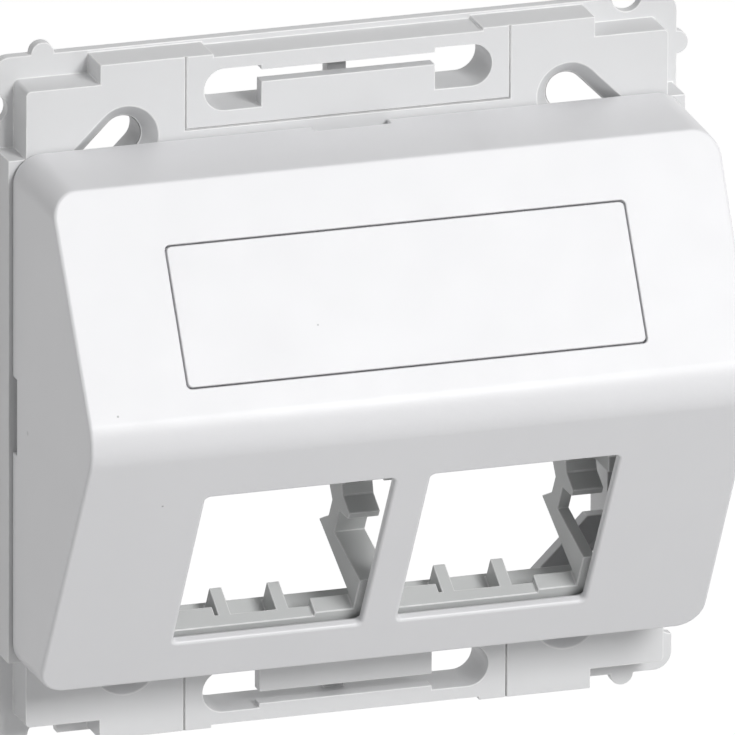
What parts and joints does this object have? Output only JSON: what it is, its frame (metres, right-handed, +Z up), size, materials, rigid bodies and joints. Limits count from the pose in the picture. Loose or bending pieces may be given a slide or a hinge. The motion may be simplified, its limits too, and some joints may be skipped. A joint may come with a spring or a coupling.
{
  "type": "ethernet socket",
  "caption": "Flush wall data outlet: grey mounting frame, slotted connector carrier and a white sloped hood with open connector windows and a blank label plate.",
  "frame": {"origin": "middle of the wall plane, between the screw slots, on the rear of the mounting frame", "axes": "+X to the right seen from the room, +Y into the wall, +Z up"},
  "size_m": [0.07, 0.0286, 0.07],
  "materials": {
    "frame_grey": "fine satin",
    "carrier_grey": "fine satin",
    "cover_white": "smooth satin",
    "label_white": "smooth satin"
  },
  "bodies": {
    "base": {"mounting_frame": "frame_grey", "connector_carrier": "carrier_grey"},
    "hood": {"cover": "cover_white"},
    "label": {"label_plate": "label_white"}
  },
  "joints": [
    {"name": "cover_pull", "type": "slide", "parent": "base", "child": "hood", "axis": [0, -1, 0], "range_m": [0, 0.032]},
    {"name": "label_lift", "type": "slide", "parent": "hood", "child": "label", "axis": [0, -0.8526, 0.5225], "range_m": [0, 0.012]}
  ]
}
